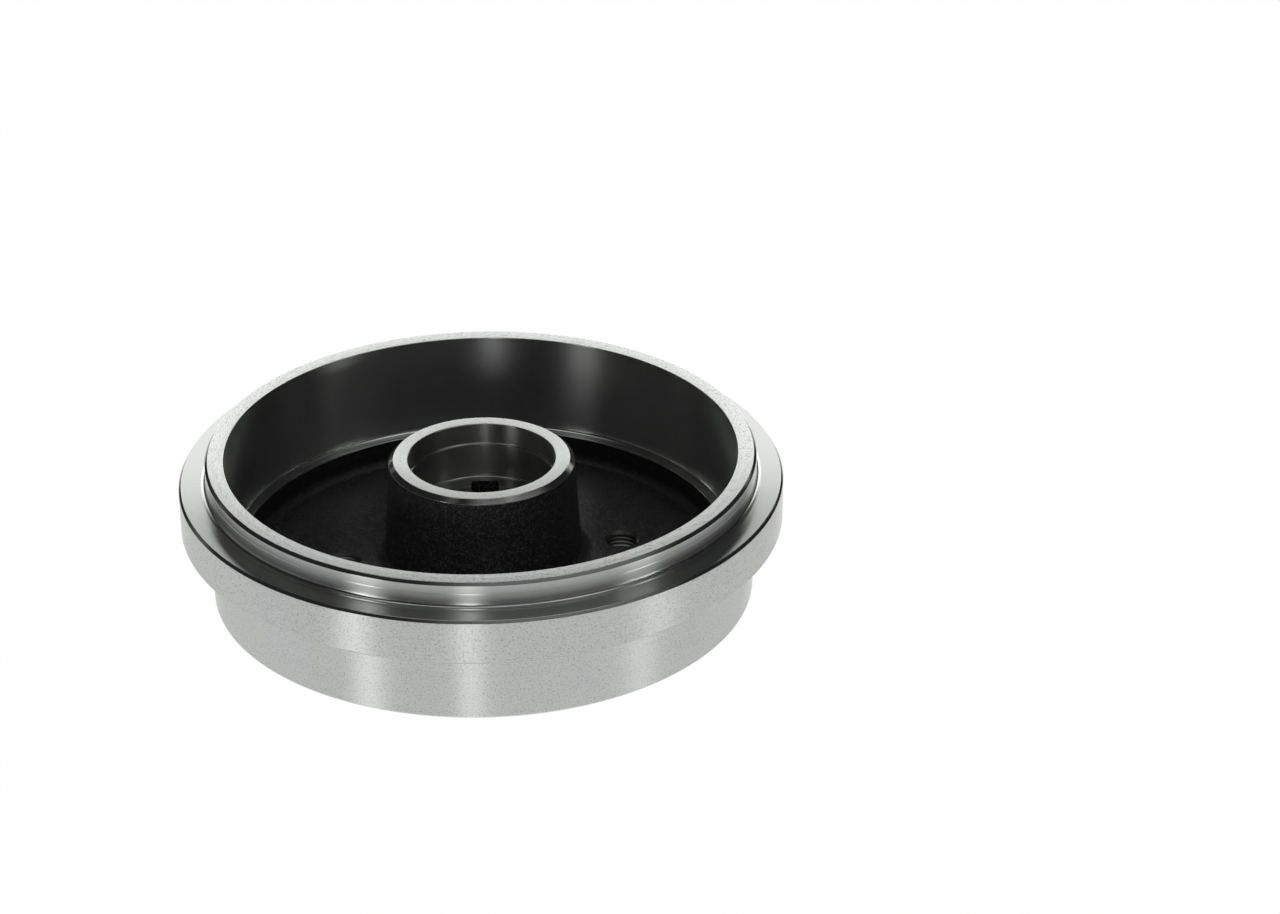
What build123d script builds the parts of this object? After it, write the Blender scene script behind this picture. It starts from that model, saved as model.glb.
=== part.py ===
from build123d import *
import math
import os

# Brake drum with an integral hub: one grey iron casting, turned except for the inside of its web and boss.
# It stands on the end of its hub nose, open side up. Lengths are in millimetres, angles in degrees.

# Hub: the outer bearing's seat, the nose around it and the spigot that centres the wheel
outer_race_diameter = 39.878
outer_race_depth = 19.0
outer_race_lead_in = 1.4
nose_wall = 4.161
nose_length = 8.2
nose_chamfer = 0.4
nose_root_chamfer = 2.0
spigot_step = 4.4
spigot_length = 14.2
spigot_chamfer = 0.7
spigot_root_radius = 4.0

# Bore between the bearings, and the notches below the inner race for driving it out
through_bore_shoulder = 1.939
notch_width = 9.9
notch_reach = 3.5
notch_depth = 6.0
notch_corner_radius = 1.7

# Boss: the inner bearing's seat, the seal's seat above it and the cast wall around them
inner_race_diameter = 50.292
inner_race_depth = 13.2
inner_race_lead_in = 0.4
seal_ledge_width = 0.754
seal_seat_depth = 7.5
seal_lead_in = 0.3
boss_wall = 6.85
boss_recess = 3.7
boss_draft = 3.7
boss_root_radius = 4.0
boss_chamfer_width = 1.7
boss_chamfer_height = 1.5

# Web: thin at its rim, with a raised pad that carries the wheel bolts
web_rim_thickness = 5.0
web_pad_rise = 6.0
web_pad_margin = 8.0
web_corner_chamfer = 2.5
face_chamfer = 0.8

# Wheel bolt holes, at the thread's full diameter
bolt_count = 4
bolt_circle_diameter = 100.0
bolt_diameter = 12.0
bolt_start_angle = 9.75
bolt_face_chamfer = 0.8

# Brake surface, with the turned ledge and the cast wall below it
brake_diameter = 180.0
ledge_width = 3.8
cast_wall_height = 10.0
cast_wall_draft = 3.0

# Outside: the flared body, the stiffening band and the lip around the open side
body_wall = 5.85
body_height = 27.0
flare_reach = 0.95
flare_angle = 18.0
flare_step = 0.45
band_projection = 10.15
band_height = 16.2
band_chamfer = 0.85
lip_wall = 6.6
lip_height = 8.8
lip_land_width = 1.6
lip_land_height = 0.3
lip_root_chamfer = 1.0
lip_chamfer = 0.95

# Planes across the axis, stacked upwards from the end of the hub nose
spigot_end = nose_length
wheel_face = spigot_end + spigot_length
web_rim_top = wheel_face + web_rim_thickness
web_pad_top = web_rim_top + web_pad_rise
ledge_top = web_rim_top + cast_wall_height
band_bottom = wheel_face + body_height
flare_edge = band_bottom - flare_step
flare_start = flare_edge - flare_reach / math.tan(math.radians(flare_angle))
band_top = band_bottom + band_height
lip_land_top = band_top + lip_land_height
lip_top = band_top + lip_height
boss_top = lip_top - boss_recess
boss_shoulder = boss_top - boss_chamfer_height
seal_ledge = boss_top - seal_seat_depth
inner_shoulder = seal_ledge - inner_race_depth

# Radii, stacked outwards from the bearing seats and from the brake surface
outer_race_radius = outer_race_diameter / 2
through_bore_radius = outer_race_radius - through_bore_shoulder
nose_radius = outer_race_radius + nose_wall
spigot_radius = nose_radius + spigot_step
inner_race_radius = inner_race_diameter / 2
seal_seat_radius = inner_race_radius + seal_ledge_width
boss_radius = seal_seat_radius + boss_wall
boss_root = boss_radius + (boss_shoulder - web_pad_top) * math.tan(math.radians(boss_draft))
bolt_circle_radius = bolt_circle_diameter / 2
bolt_radius = bolt_diameter / 2
web_pad_radius = bolt_circle_radius + web_pad_margin
brake_radius = brake_diameter / 2
ledge_radius = brake_radius - ledge_width
web_corner_radius = ledge_radius - cast_wall_height * math.tan(math.radians(cast_wall_draft))
body_radius = brake_radius + body_wall
flare_edge_radius = body_radius + flare_reach
band_radius = body_radius + band_projection
lip_radius = brake_radius + lip_wall
lip_land_radius = lip_radius + lip_land_width


def inside_section():
    """Corners (radius, height, fillet) of the open side, from the lip down to the web and up the boss."""
    return [
        (brake_radius, lip_top, 0),
        (brake_radius, ledge_top, 0),
        (ledge_radius, ledge_top, 0),
        (web_corner_radius, web_rim_top + web_corner_chamfer, 0),
        (web_corner_radius - web_corner_chamfer, web_rim_top, 0),
        (web_pad_radius, web_pad_top, 0),
        (boss_root, web_pad_top, boss_root_radius),
        (boss_radius, boss_shoulder, 0),
        (boss_radius - boss_chamfer_width, boss_top, 0),
    ]


def bore_section():
    """Corners of the seal seat, the bearing seats and the bore between them, from the boss to the nose."""
    return [
        (seal_seat_radius + seal_lead_in, boss_top, 0),
        (seal_seat_radius, boss_top - seal_lead_in, 0),
        (seal_seat_radius, seal_ledge, 0),
        (inner_race_radius + inner_race_lead_in, seal_ledge, 0),
        (inner_race_radius, seal_ledge - inner_race_lead_in, 0),
        (inner_race_radius, inner_shoulder, 0),
        (through_bore_radius, inner_shoulder, 0),
        (through_bore_radius, outer_race_depth, 0),
        (outer_race_radius, outer_race_depth, 0),
        (outer_race_radius, outer_race_lead_in, 0),
        (outer_race_radius + outer_race_lead_in, 0, 0),
    ]


def hub_section():
    """Corners of the hub nose and of the spigot that centres the wheel."""
    return [
        (nose_radius - nose_chamfer, 0, 0),
        (nose_radius, nose_chamfer, 0),
        (nose_radius, spigot_end - nose_root_chamfer, 0),
        (nose_radius + nose_root_chamfer, spigot_end, 0),
        (spigot_radius - spigot_chamfer, spigot_end, 0),
        (spigot_radius, spigot_end + spigot_chamfer, 0),
        (spigot_radius, wheel_face, spigot_root_radius),
    ]


def outside_section():
    """Corners of the wheel face, the flared body, the stiffening band and the lip around the open side."""
    return [
        (body_radius - face_chamfer, wheel_face, 0),
        (body_radius, wheel_face + face_chamfer, 0),
        (body_radius, flare_start, 0),
        (flare_edge_radius, flare_edge, 0),
        (flare_edge_radius, band_bottom, 0),
        (band_radius - band_chamfer, band_bottom, 0),
        (band_radius, band_bottom + band_chamfer, 0),
        (band_radius, band_top - band_chamfer, 0),
        (band_radius - band_chamfer, band_top, 0),
        (lip_land_radius, band_top, 0),
        (lip_land_radius, lip_land_top, 0),
        (lip_radius + lip_root_chamfer, lip_land_top, 0),
        (lip_radius, lip_land_top + lip_root_chamfer, 0),
        (lip_radius, lip_top - lip_chamfer, 0),
        (lip_radius - lip_chamfer, lip_top, 0),
    ]


def turned_casting():
    """The whole section, revolved about the axis."""
    corners = inside_section() + bore_section() + hub_section() + outside_section()
    points = [(radius, height) for radius, height, fillet in corners]
    fillets = [fillet for radius, height, fillet in corners]
    with BuildPart() as casting:
        with BuildSketch(Plane.XZ):
            with BuildLine():
                FilletPolyline(*points, radius=fillets, close=True)
            make_face()
        revolve(axis=Axis.Z)
    return casting.part


def race_notches():
    """One rounded bar across the bore: it leaves two opposite notches below the inner race's shoulder."""
    notch_span = 2 * (through_bore_radius + notch_reach)
    with BuildPart() as notches:
        with BuildSketch(Plane.XY.offset(inner_shoulder)):
            RectangleRounded(notch_width, notch_span, notch_corner_radius)
        extrude(amount=-notch_depth)
    return notches.part


def bolt_holes():
    """The ring of wheel bolt holes, chamfered where the bolts enter on the wheel face."""
    section = [
        (0, wheel_face),
        (bolt_radius + bolt_face_chamfer, wheel_face),
        (bolt_radius, wheel_face + bolt_face_chamfer),
        (bolt_radius, web_pad_top),
        (0, web_pad_top),
    ]
    with BuildPart() as hole:
        with BuildSketch(Plane.XZ):
            with BuildLine():
                Polyline(*section, close=True)
            make_face()
        revolve(axis=Axis.Z)
    places = PolarLocations(bolt_circle_radius, bolt_count, start_angle=bolt_start_angle)
    return [place * hole.part for place in places]


brake_drum = turned_casting() - race_notches()
for bolt_hole in bolt_holes():
    brake_drum -= bolt_hole

os.makedirs("parts", exist_ok=True)
export_step(brake_drum, "parts/brake_drum.step")
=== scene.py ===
import math

import bmesh
import bpy
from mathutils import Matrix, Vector


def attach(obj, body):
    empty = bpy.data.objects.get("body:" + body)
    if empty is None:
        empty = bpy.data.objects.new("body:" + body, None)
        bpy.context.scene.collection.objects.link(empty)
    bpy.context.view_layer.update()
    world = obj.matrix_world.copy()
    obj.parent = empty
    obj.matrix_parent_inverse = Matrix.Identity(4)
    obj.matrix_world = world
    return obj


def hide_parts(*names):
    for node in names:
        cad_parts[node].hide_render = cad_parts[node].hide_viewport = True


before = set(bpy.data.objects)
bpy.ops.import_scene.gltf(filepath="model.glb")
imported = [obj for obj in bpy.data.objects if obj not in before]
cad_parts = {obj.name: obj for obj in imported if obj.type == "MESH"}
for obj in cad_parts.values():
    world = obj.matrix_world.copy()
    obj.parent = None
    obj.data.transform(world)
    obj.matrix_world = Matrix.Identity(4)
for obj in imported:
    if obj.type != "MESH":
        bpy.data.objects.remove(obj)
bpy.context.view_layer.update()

# The drum: one grey iron casting with its hub, turned on a lathe except for the inside of the web and the boss.
# Its section is drawn corner by corner as the lathe leaves it, and spun about the axis. It stands on its hub nose.
MM = 0.001
STEPS_AROUND = 288
EDGE_BREAK = (0.12, 2)

# Corners of the section: radius and height, then how far the corner is cut back and in how many facets
lip_inside = [(90.0, 74.4, 0.3, 3), (90.0, 37.4, 1.8, 8), (86.2, 37.4, 0.35, 3)]
web = [(85.7, 27.4, 4.0, 7), (58.0, 33.4, 5.0, 5), (35.06, 33.4, 4.0, 7)]
boss = [(32.75, 69.2, *EDGE_BREAK), (31.05, 70.7, *EDGE_BREAK), (26.2, 70.7, 0.1, 2), (25.9, 70.4, 0.1, 2)]
seats = [
    (25.9, 63.2, 0.3, 4), (25.55, 63.2, 0.1, 2), (25.146, 62.8, 0.1, 2), (25.146, 50.0, 0.8, 5),
    (18.0, 50.0, 0.25, 2), (18.0, 19.0, *EDGE_BREAK), (19.939, 19.0, 0.4, 3), (19.939, 1.4, *EDGE_BREAK),
    (21.339, 0.0, *EDGE_BREAK),
]
hub = [
    (23.7, 0.0, *EDGE_BREAK), (24.1, 0.4, *EDGE_BREAK), (24.1, 8.2, 3.2, 7), (27.8, 8.2, *EDGE_BREAK),
    (28.5, 8.9, *EDGE_BREAK), (28.5, 22.4, 4.0, 8),
]
outside = [
    (95.05, 22.4, *EDGE_BREAK), (95.85, 23.2, *EDGE_BREAK), (95.85, 46.03, 1.6, 5), (96.8, 48.95, *EDGE_BREAK),
    (96.8, 49.4, 0.1, 2), (105.15, 49.4, *EDGE_BREAK), (106.0, 50.25, *EDGE_BREAK), (106.0, 64.75, *EDGE_BREAK),
    (105.15, 65.6, *EDGE_BREAK), (98.2, 65.6, 0.1, 2), (98.2, 65.9, 0.1, 2), (96.65, 65.9, 1.3, 5),
    (96.65, 70.3, 0.05, 2), (96.56, 70.55, 0.05, 2), (96.56, 73.45, *EDGE_BREAK), (95.55, 74.4, *EDGE_BREAK),
]
section = lip_inside + web + boss + seats + hub + outside


def select_places(mesh, places):
    """Selects only the vertices that lie at one of the places."""
    for vertex in mesh.verts:
        vertex.select = any((vertex.co - place).length < 1e-7 for place in places)
    mesh.select_flush_mode()


bpy.ops.object.select_all(action="DESELECT")
bpy.ops.mesh.primitive_plane_add(size=MM)
drum = bpy.context.object
drum.name = drum.data.name = "turned_drum"
bpy.ops.object.mode_set(mode="EDIT")
bpy.ops.mesh.merge(type="CENTER")
places = [Vector((radius * MM, 0, height * MM)) for radius, height, cut, facets in section]
bpy.ops.transform.translate(value=places[0])
for here, there in zip(places, places[1:]):
    bpy.ops.mesh.extrude_vertices_move(TRANSFORM_OT_translate={"value": there - here})
select_places(bmesh.from_edit_mesh(drum.data), [places[0], places[-1]])
bpy.ops.mesh.edge_face_add()
for round_off in sorted({(cut, facets) for radius, height, cut, facets in section}):
    rounded = [place for place, corner in zip(places, section) if corner[2:] == round_off]
    select_places(bmesh.from_edit_mesh(drum.data), rounded)
    bpy.ops.mesh.bevel(affect="VERTICES", offset=round_off[0] * MM, segments=round_off[1], profile=0.5)
bpy.ops.mesh.select_all(action="SELECT")
bpy.ops.mesh.spin(steps=STEPS_AROUND, angle=math.tau, center=(0, 0, 0), axis=(0, 0, 1))
bpy.ops.mesh.select_all(action="SELECT")
bpy.ops.mesh.remove_doubles(threshold=1e-7)
bpy.ops.mesh.normals_make_consistent(inside=False)
bpy.ops.object.mode_set(mode="OBJECT")

# The cuts: four tapped wheel bolt holes through the web, countersunk on the wheel face, and a slot across the bore
# that leaves two notches under the inner bearing's race. Each hole is cut by the shape of its tap, threads and all.
BOLT_COUNT = 4
BOLT_CIRCLE_RADIUS = 50.0 * MM
BOLT_START_ANGLE = math.radians(9.75)
THREAD_PITCH = 1.5 * MM
THREAD_CREST = 5.19 * MM
THREAD_ROOT = 6.0 * MM
THREAD_TURNS = 9
TAP_LENGTH = 16.0 * MM
TAP_SIDES = 48
LEAD_DEPTH = 3.0 * MM
LEAD_WIDE_END = THREAD_ROOT + 1.8 * MM
LEAD_NARROW_END = THREAD_ROOT - 1.2 * MM
LEAD_ABOVE_FACE = 0.5 * MM
RUN_OUT_DEPTH = 2.0 * MM
RUN_OUT_NARROW_END = THREAD_CREST - 0.3 * MM
RUN_OUT_WIDE_END = THREAD_ROOT + 0.9 * MM
RUN_OUT_BELOW_PAD = 0.4 * MM
TOOTH_DEPTH = 1.0 * MM
TOOTH_TIP = 0.14
TOOTH_FOOT = 1.36
WHEEL_FACE = 22.4 * MM
WEB_PAD = 33.4 * MM
NOTCH_WIDTH = 9.9 * MM
NOTCH_SPAN = 43.0 * MM
NOTCH_DEPTH = 6.0 * MM
NOTCH_ROUNDING = 1.7 * MM
RACE_SHOULDER = 50.0 * MM
OVERCUT = 0.6 * MM


def end_shaping():
    """Closes a cutter: its ends get faces, and all its faces point outwards."""
    bpy.ops.mesh.select_all(action="SELECT")
    bpy.ops.mesh.fill_holes(sides=0)
    bpy.ops.mesh.select_all(action="SELECT")
    bpy.ops.mesh.normals_make_consistent(inside=False)
    bpy.ops.object.mode_set(mode="OBJECT")


bpy.ops.object.select_all(action="DESELECT")
bpy.ops.mesh.primitive_cylinder_add(
    vertices=TAP_SIDES, radius=THREAD_CREST, depth=TAP_LENGTH, location=(0, 0, (WHEEL_FACE + WEB_PAD) / 2)
)
tap_core = bpy.context.object
bpy.ops.mesh.primitive_cone_add(
    vertices=TAP_SIDES, radius1=LEAD_WIDE_END, radius2=LEAD_NARROW_END, depth=LEAD_DEPTH,
    location=(0, 0, WHEEL_FACE + LEAD_ABOVE_FACE),
)
tap_lead = bpy.context.object
bpy.ops.mesh.primitive_cone_add(
    vertices=TAP_SIDES, radius1=RUN_OUT_NARROW_END, radius2=RUN_OUT_WIDE_END, depth=RUN_OUT_DEPTH,
    location=(0, 0, WEB_PAD - RUN_OUT_BELOW_PAD),
)
tap_run_out = bpy.context.object

bpy.ops.mesh.primitive_plane_add(size=TOOTH_DEPTH, rotation=(math.pi / 2, 0, 0))
tap_thread = bpy.context.object
bpy.ops.object.transform_apply(location=True, rotation=True, scale=True)
bpy.ops.object.mode_set(mode="EDIT")
tooth = bmesh.from_edit_mesh(tap_thread.data)
for vertex in tooth.verts:
    vertex.select = vertex.co.x > 0
tooth.select_flush_mode()
bpy.ops.transform.resize(value=(1, 1, TOOTH_TIP))
bpy.ops.mesh.select_all(action="INVERT")
bpy.ops.transform.resize(value=(1, 1, TOOTH_FOOT))
bpy.ops.mesh.select_all(action="SELECT")
bpy.ops.transform.translate(value=(THREAD_ROOT - TOOTH_DEPTH / 2, 0, WHEEL_FACE - THREAD_PITCH))
bpy.ops.object.mode_set(mode="OBJECT")
bpy.ops.object.modifier_add(type="SCREW")
screw = tap_thread.modifiers[-1]
screw.screw_offset = THREAD_PITCH
screw.iterations = THREAD_TURNS
screw.steps = screw.render_steps = TAP_SIDES
bpy.ops.object.modifier_apply(modifier=screw.name)
bpy.ops.object.mode_set(mode="EDIT")
bpy.ops.mesh.select_all(action="SELECT")
bpy.ops.mesh.remove_doubles(threshold=1e-7)
end_shaping()

for tool in (tap_core, tap_lead, tap_run_out, tap_thread):
    tool.select_set(True)
bpy.context.view_layer.objects.active = tap_core
bpy.ops.object.join()
bpy.ops.object.transform_apply(location=True, rotation=True, scale=True)
bolt_angles = [BOLT_START_ANGLE + number * math.tau / BOLT_COUNT for number in range(BOLT_COUNT)]
taps = []
for angle in bolt_angles:
    bpy.ops.object.select_all(action="DESELECT")
    tap_core.select_set(True)
    bpy.context.view_layer.objects.active = tap_core
    bpy.ops.object.duplicate()
    taps.append(bpy.context.object)
    taps[-1].location = (BOLT_CIRCLE_RADIUS * math.cos(angle), BOLT_CIRCLE_RADIUS * math.sin(angle), 0)
    taps[-1].rotation_euler.z = angle
bpy.data.objects.remove(tap_core)

bpy.ops.object.select_all(action="DESELECT")
bar_middle = RACE_SHOULDER - NOTCH_DEPTH / 2
bpy.ops.mesh.primitive_cube_add(
    size=1, location=(0, 0, bar_middle), scale=(NOTCH_WIDTH, NOTCH_SPAN, NOTCH_DEPTH)
)
notch_bar = bpy.context.object
bpy.ops.object.transform_apply(location=True, rotation=True, scale=True)
bpy.ops.object.mode_set(mode="EDIT")
bar = bmesh.from_edit_mesh(notch_bar.data)
bpy.ops.mesh.select_all(action="DESELECT")
bpy.ops.mesh.select_mode(type="EDGE")
for edge in bar.edges:
    along = edge.verts[1].co - edge.verts[0].co
    edge.select = abs(along.z) > NOTCH_DEPTH / 2
bpy.ops.mesh.bevel(affect="EDGES", offset=NOTCH_ROUNDING, segments=6)
bpy.ops.mesh.select_mode(type="VERT")
bpy.ops.mesh.select_all(action="SELECT")
bar = bmesh.from_edit_mesh(notch_bar.data)
for vertex in bar.verts:
    vertex.select = vertex.co.z > bar_middle
bar.select_flush_mode()
bpy.ops.transform.translate(value=(0, 0, OVERCUT))
bpy.ops.object.mode_set(mode="OBJECT")

bpy.ops.object.select_all(action="DESELECT")
for tool in taps + [notch_bar]:
    tool.select_set(True)
bpy.context.view_layer.objects.active = notch_bar
bpy.ops.object.join()
bpy.ops.object.transform_apply(location=True, rotation=True, scale=True)

bpy.ops.object.select_all(action="DESELECT")
drum.select_set(True)
bpy.context.view_layer.objects.active = drum
bpy.ops.object.modifier_add(type="BOOLEAN")
cut = drum.modifiers[-1]
cut.operation = "DIFFERENCE"
cut.solver = "EXACT"
cut.use_self = True
cut.object = notch_bar
bpy.ops.object.modifier_apply(modifier=cut.name)
bpy.data.objects.remove(notch_bar)

SHARPEST_SMOOTH_EDGE = math.radians(32)
bpy.ops.object.shade_smooth_by_angle(angle=SHARPEST_SMOOTH_EDGE)
bpy.ops.object.modifier_add(type="WEIGHTED_NORMAL")
even_shading = drum.modifiers[-1]
even_shading.keep_sharp = True
even_shading.weight = 100
bpy.ops.object.modifier_apply(modifier=even_shading.name)


# The turned finish: bright grey iron with the fine rings that the tool leaves, and the small dark pores of the casting.
# The rings run round the axis, so the metal smears what it mirrors along the walls and across the flat faces.
class Shade:
    """A socket of a material's nodes. Arithmetic on it adds Math nodes, and node() adds any other node."""

    def __init__(self, tree, socket=None):
        self.tree = tree
        self.socket = socket

    def node(self, kind, settings, sockets, output=0):
        made = self.tree.nodes.new(kind)
        for name, value in settings.items():
            setattr(made, name, value)
        for name, value in sockets.items():
            if isinstance(value, Shade):
                self.tree.links.new(value.socket, made.inputs[name])
            else:
                made.inputs[name].default_value = value
        return Shade(self.tree, made.outputs[output] if made.outputs else None)

    def maths(self, operation, *values):
        return self.node("ShaderNodeMath", {"operation": operation}, dict(enumerate(values)))

    def __add__(self, other):
        return self.maths("ADD", self, other)

    def __radd__(self, other):
        return self.maths("ADD", other, self)

    def __sub__(self, other):
        return self.maths("SUBTRACT", self, other)

    def __rsub__(self, other):
        return self.maths("SUBTRACT", other, self)

    def __mul__(self, other):
        return self.maths("MULTIPLY", self, other)

    def __rmul__(self, other):
        return self.maths("MULTIPLY", other, self)

    def __pow__(self, other):
        return self.maths("POWER", self, other)

    def step(self, low, high):
        """Rises smoothly from 0 at low to 1 at high."""
        return self.node(
            "ShaderNodeMapRange", {"interpolation_type": "SMOOTHSTEP"},
            {"Value": self, "From Min": low, "From Max": high, "To Min": 0.0, "To Max": 1.0},
        )

    def noise(self, vector, scale, detail=2.0, roughness=0.5):
        """Cloudy noise about 0, with features about 1 / scale metres wide."""
        settings = {"noise_dimensions": "3D"}
        sockets = {"Vector": vector, "Scale": scale, "Detail": detail, "Roughness": roughness}
        return self.node("ShaderNodeTexNoise", settings, sockets) - 0.5


def start_material(name):
    """An empty material, and a Shade that adds nodes to it."""
    material = bpy.data.materials.new(name)
    material.use_nodes = True
    material.node_tree.nodes.clear()
    return material, Shade(material.node_tree)


def split(shade, vector):
    """The three coordinates of a vector."""
    return [shade.node("ShaderNodeSeparateXYZ", {}, {"Vector": vector}, axis) for axis in "XYZ"]


def axis_distance(x, y):
    """How far a place lies from the drum's axis."""
    return (x * x + y * y) ** 0.5


IRON_GREY = 0.695
WALL_ROUGHNESS = 0.325
FLAT_ROUGHNESS = 0.15
turned, iron = start_material("turned_iron")
place = iron.node("ShaderNodeTexCoord", {}, {}, "Object")
x, y, z = split(iron, place)
radius = axis_distance(x, y)
facing = split(iron, iron.node("ShaderNodeTexCoord", {}, {}, "Normal"))[2]
upright = iron.maths("ABSOLUTE", facing)

# Where the finish differs: flat faces and chamfers are smoother than the walls, the brake surface and the bearing
# seats are the finest, the lip and the rim of the boss come next, and the wheel face is slightly stained. The places
# are told by how upright the surface is, and by radius and height in metres. The bearing seats deep in the bore and
# the top of the boss also get painted shade in their colour.
flat = upright.step(0.3, 0.9)
slant = upright.step(0.4, 0.6) * (1.0 - upright.step(0.8, 0.93))
on_brake = radius.step(0.0850, 0.0855) * (1.0 - radius.step(0.0901, 0.0905)) * z.step(0.0335, 0.0360)
in_seats = (1.0 - radius.step(0.0262, 0.0266)) * z.step(0.0195, 0.0205)
inside = on_brake + in_seats
on_lip = radius.step(0.0940, 0.0945) * z.step(0.0650, 0.0656) * (1.0 - z.step(0.0738, 0.0742))
on_boss = (1.0 - radius.step(0.0315, 0.0325)) * z.step(0.0690, 0.0700) * (1.0 - in_seats)
coarseness = 1.0 - inside - 0.85 * on_lip - 0.45 * on_boss
on_face = 1.0 - z.step(0.0226, 0.0230)

# Tool marks: lines that keep their radius and height all the way round, fine ones and some broader bands
across = iron.node("ShaderNodeCombineXYZ", {}, {"X": radius, "Y": z, "Z": 0.0})
rings = iron.noise(across, 3200.0)
bands = iron.noise(across, 700.0, 1.0)

# Grain: fine dark specks of graphite all over, slightly drawn out round the axis, and a few open pores
round_axis = iron.maths("ARCTAN2", y, x) * radius * 0.9
drawn = iron.node("ShaderNodeCombineXYZ", {}, {"X": round_axis, "Y": radius, "Z": z})
grain = iron.noise(drawn, 1700.0, 2.0, 0.65)
specks = (-0.06 - grain).step(0.0, 0.10)
clouds = iron.noise(place, 60.0, 4.0, 0.55)
cell = {"Vector": drawn, "Scale": 800.0, "Randomness": 1.0}
near_pore = iron.node("ShaderNodeTexVoronoi", {}, cell, "Distance")
luck = split(iron, iron.node("ShaderNodeTexVoronoi", {}, cell, "Color"))[0]
pores = (0.26 * luck.step(0.6, 1.0) - near_pore).step(0.0, 0.10)

stains = on_face * iron.noise(place, 35.0, 4.0)
texture = 0.06 * bands + 0.07 * rings + 0.28 * grain - 0.17 * specks - 0.12 * pores
grey = IRON_GREY + 0.06 * clouds + 0.12 * stains + texture * coarseness
cool = 0.03 * iron.noise(place, 22.0, 2.0) + 0.20 * stains
# Painted shade: the bearing seats in the bore and the top of the boss are darkened in colour.
grey_with_painted_shade = grey * (1.0 - 0.25 * in_seats - 0.11 * on_boss)
colour = iron.node(
    "ShaderNodeCombineColor", {}, {"Red": grey_with_painted_shade * (0.975 - cool), "Green": grey_with_painted_shade, "Blue": grey_with_painted_shade * (0.972 + cool)}
)
wall = WALL_ROUGHNESS - 0.025 * on_brake + 0.01 * in_seats - 0.02 * on_lip
spread = (0.05 * bands + 0.08 * grain + 0.06 * specks) * coarseness + 0.03 * clouds
roughness = wall + (FLAT_ROUGHNESS - wall) * flat - 0.105 * slant + spread * (1.0 - 0.6 * slant)
marks = iron.node(
    "ShaderNodeBump", {},
    {"Strength": 0.05, "Distance": 0.0001, "Height": (rings + bands + grain - 0.6 * specks - pores) * coarseness},
)
metal = iron.node(
    "ShaderNodeBsdfPrincipled", {},
    {
        "Base Color": colour, "Metallic": 1.0, "Roughness": roughness, "Normal": marks,
        "Anisotropic": 0.9, "Anisotropic Rotation": 0.25,
    },
)
iron.node("ShaderNodeOutputMaterial", {}, {"Surface": metal})

# The threads: the tap leaves the iron dull in the bolt holes, and the thread is coloured a dark, mottled grey.
tapped, thread = start_material("tapped_thread")
place = thread.node("ShaderNodeTexCoord", {}, {}, "Object")
thread_mottle = thread.noise(place, 1500.0, 3.0, 0.6)
dull = 0.18 + 0.14 * thread_mottle
colour = thread.node("ShaderNodeCombineColor", {}, {"Red": dull, "Green": dull, "Blue": dull * 0.97})
metal = thread.node(
    "ShaderNodeBsdfPrincipled", {}, {"Base Color": colour, "Metallic": 1.0, "Roughness": 0.36 + 0.2 * thread_mottle}
)
thread.node("ShaderNodeOutputMaterial", {}, {"Surface": metal})

# The cast skin: the web, the boss, the notches and the wall under the brake surface aren't turned. They keep the
# black, sand-rough skin of the casting. Its standing grains are smoother, and they are also lighter in colour as
# painted glints, which are dimmed near the brake wall as painted shade under the ledge.
cast, skin = start_material("black_cast_skin")
place = skin.node("ShaderNodeTexCoord", {}, {}, "Object")
sand = skin.noise(place, 1600.0, 1.0, 0.5)
x, y, z = split(skin, place)
# Painted shade: near the brake wall, under its ledge, most of the grains' lighter colour is taken away.
painted_shade_under_ledge = axis_distance(x, y).step(0.080, 0.084)
grains_and_painted_glints = sand.step(0.03, 0.14) * (1.0 - 0.8 * painted_shade_under_ledge)
lumps = skin.noise(place, 420.0, 2.0)
# The grains' lighter colour is a painted glint. Their lower roughness below gives the real glints.
dark = 0.019 + 0.02 * lumps + 0.16 * grains_and_painted_glints
colour = skin.node("ShaderNodeCombineColor", {}, {"Red": dark, "Green": dark, "Blue": dark * 1.03})
rough_skin = skin.node("ShaderNodeBump", {}, {"Strength": 0.6, "Distance": 0.0004, "Height": sand + 0.8 * lumps})
black = skin.node(
    "ShaderNodeBsdfPrincipled", {},
    {
        "Base Color": colour, "Roughness": 0.42 + 0.2 * lumps - 0.18 * grains_and_painted_glints, "Normal": rough_skin,
        "Specular IOR Level": 0.7,
    },
)
skin.node("ShaderNodeOutputMaterial", {}, {"Surface": black})

drum.data.materials.clear()
for finish in (turned, cast, tapped):
    drum.data.materials.append(finish)
CAST_FROM, CAST_TO = 32.7, 86.15
CAST_BOTTOM, CAST_TOP = 27.3, 69.1
NOTCH_FROM, NOTCH_TO = 18.05, 22.3
NOTCH_BOTTOM, NOTCH_TOP = 43.9, 49.9
THREAD_TOP = 33.38
THREAD_REACH = 6.35
bolt_axes = [Vector((math.cos(angle), math.sin(angle))) * BOLT_CIRCLE_RADIUS for angle in bolt_angles]
for face in drum.data.polygons:
    out = face.center.xy.length / MM
    up = face.center.z / MM
    off_bolt = min((face.center.xy - axis).length for axis in bolt_axes) / MM
    on_web = CAST_FROM < out < CAST_TO and CAST_BOTTOM < up < CAST_TOP
    in_notch = NOTCH_FROM < out < NOTCH_TO and NOTCH_BOTTOM < up < NOTCH_TOP
    in_hole = off_bolt < THREAD_REACH and up < THREAD_TOP
    face.material_index = 2 if in_hole else 1 if on_web or in_notch else 0

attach(drum, "root")
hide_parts("brake_drum")

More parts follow.
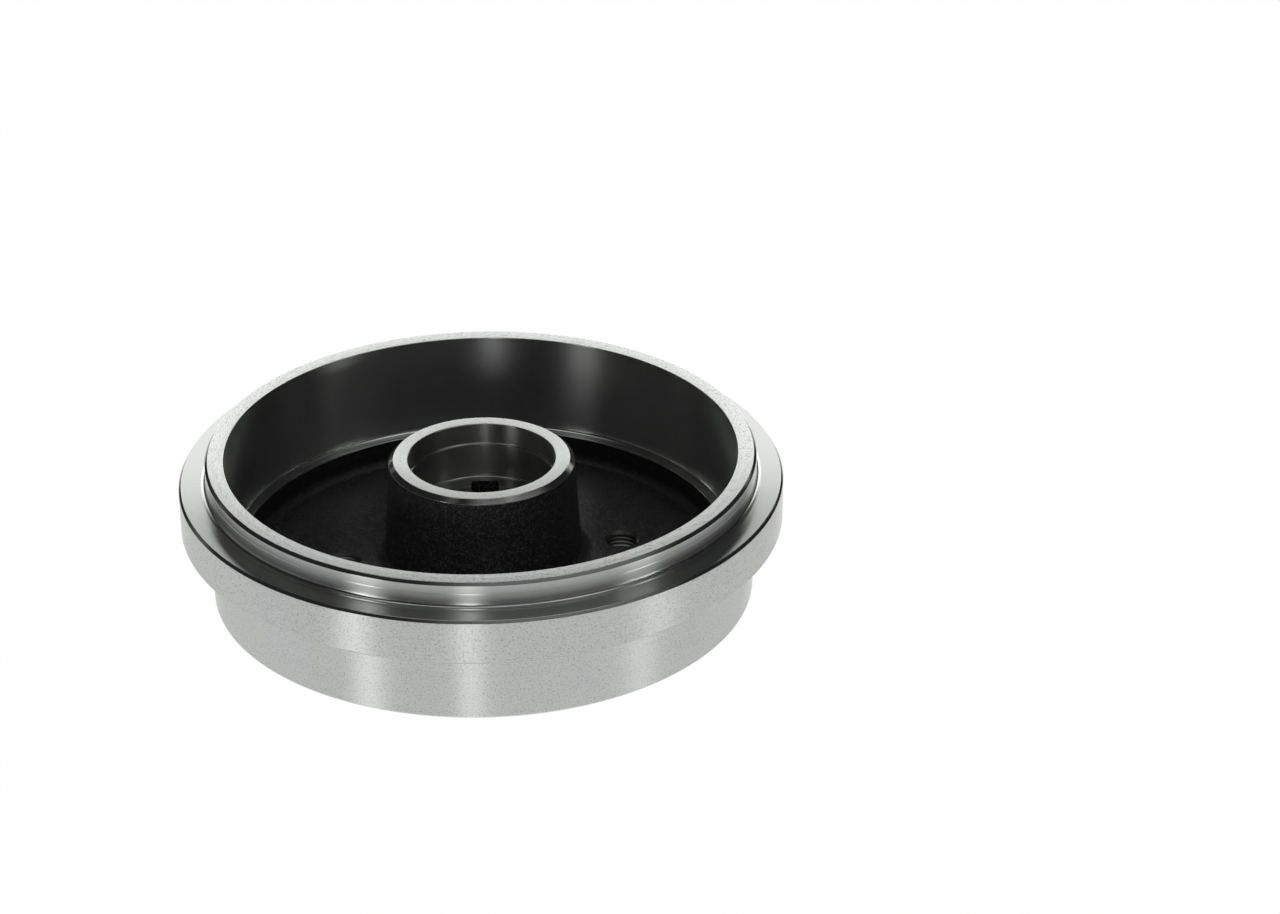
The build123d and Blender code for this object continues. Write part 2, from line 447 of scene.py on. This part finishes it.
# The studio: a glossy white table, and a dark room with three strip lights in front, a bright wall behind and a dim
# ceiling. The drum's walls mirror the table and the strips, and its flat faces mirror the wall behind.
# The table is dark under the hub, where no light reaches it, and it can be looked through from below.
bpy.ops.object.select_all(action="DESELECT")
bpy.ops.mesh.primitive_circle_add(vertices=96, radius=6.0, fill_type="NGON")
table = bpy.context.object
table.name = "table"
SEEN_WHITE = 0.99
white, top = start_material("white_table")
matt = top.node("ShaderNodeBsdfDiffuse", {}, {"Color": (0.9, 0.9, 0.9, 1)})
glow = top.node("ShaderNodeEmission", {}, {"Color": (1, 1, 1, 1), "Strength": 1.0})
gloss = top.node("ShaderNodeBsdfGlossy", {}, {"Color": (1, 1, 1, 1), "Roughness": 0.1})
shine = top.node("ShaderNodeFresnel", {}, {"IOR": 2.0})
mirrored = top.node("ShaderNodeMixShader", {}, {0: shine, 1: glow, 2: gloss})
in_metal = top.node("ShaderNodeLightPath", {}, {}, "Is Glossy Ray")
in_glass = top.node("ShaderNodeLightPath", {}, {}, "Is Transmission Ray")
x, y, z = split(top, top.node("ShaderNodeTexCoord", {}, {}, "Object"))
in_the_open = axis_distance(x, y).step(0.023, 0.025)
in_gloss = in_the_open * top.maths("MAXIMUM", in_metal, in_glass)
lit = top.node("ShaderNodeMixShader", {}, {0: in_gloss, 1: matt, 2: mirrored})
seen = top.node("ShaderNodeLightPath", {}, {}, "Is Camera Ray")
surface = top.node("ShaderNodeMixShader", {}, {0: SEEN_WHITE * seen * in_the_open, 1: lit, 2: glow})
clear = top.node("ShaderNodeBsdfTransparent", {}, {"Color": (1, 1, 1, 1)})
from_below = top.node("ShaderNodeNewGeometry", {}, {}, "Backfacing")
one_sided = top.node("ShaderNodeMixShader", {}, {0: from_below, 1: surface, 2: clear})
top.node("ShaderNodeOutputMaterial", {}, {"Surface": one_sided})
table.data.materials.append(white)

world = bpy.data.worlds.new("dark_room")
bpy.context.scene.world = world
world.use_nodes = True
world.node_tree.nodes.clear()
room = Shade(world.node_tree)
right, back, up = split(room, room.node("ShaderNodeTexCoord", {}, {}, "Generated"))
bearing = room.maths("ARCTAN2", right, 0.0 - back)
elevation = room.maths("ARCSINE", up)


def panel(strength, centre, half_width, fade, low, high, fade_up):
    """A light at a bearing from the camera's side and between two elevations, in degrees, with soft edges."""
    edge, edge_up = math.radians(fade) / 2, math.radians(fade_up) / 2
    aside = room.maths("ABSOLUTE", bearing - math.radians(centre))
    off = room.maths("MINIMUM", aside, math.tau - aside) - math.radians(half_width)
    over = elevation - math.radians(low)
    under = elevation - math.radians(high)
    shape = (1.0 - off.step(-edge, edge)) * over.step(-edge_up, edge_up) * (1.0 - under.step(-edge_up, edge_up))
    return strength * shape


left_strip = panel(4.2, -44, 5, 4, 2, 15, 5) + panel(0.45, -44, 5, 4, 15, 36, 6)
front_strip = panel(4.9, -3, 3, 3, 2, 15, 5) + panel(0.45, -3, 3, 3, 15, 36, 6)
right_strip = panel(14, 66, 6, 5, -8, 2, 2) + panel(1.1, 67, 8, 6, 25, 29.5, 3)
wall_behind = panel(1.7, 180, 34, 26, 12, 27.8, 6)
front_fill = panel(0.015, 22, 46, 24, -6, 42, 10) + panel(0.15, 45, 60, 50, 44, 78, 12)
side_fill = panel(0.2, -95, 28, 24, 6, 19, 6) + panel(0.14, 42, 24, 24, 4, 16, 6)
ceiling_behind = panel(0.6, 180, 120, 40, 64, 120, 12)
ceiling = 0.6 * elevation.step(math.radians(74), math.radians(80))
overhead = room.maths("MAXIMUM", ceiling, ceiling_behind)
below = 0.8 - 0.8 * elevation.step(math.radians(-12), math.radians(-8))
level = 0.02 + left_strip + front_strip + right_strip + wall_behind + front_fill + side_fill + overhead + below
seen = room.node("ShaderNodeLightPath", {}, {}, "Is Camera Ray")
sky = room.node("ShaderNodeBackground", {}, {"Color": (1, 1, 1, 1), "Strength": level * (1.0 - seen) + seen})
room.node("ShaderNodeOutputWorld", {}, {"Surface": sky})

# The camera: about a metre away in front and somewhat above, with a long lens, as for a catalogue picture.
# It looks straight ahead and down, and the drum lies left of the middle of its picture.
CAMERA_PLACE = (0.05565, -1.03325, 0.60716)
CAMERA_TILT = math.radians(62.566)
FOCAL_LENGTH = 93.23
FILM_WIDTH = 36.0
bpy.ops.object.camera_add(location=CAMERA_PLACE, rotation=(CAMERA_TILT, 0, 0))
camera = bpy.context.object
camera.data.sensor_width = FILM_WIDTH
camera.data.lens = FOCAL_LENGTH
bpy.context.scene.camera = camera
bpy.context.scene.view_settings.view_transform = "Standard"
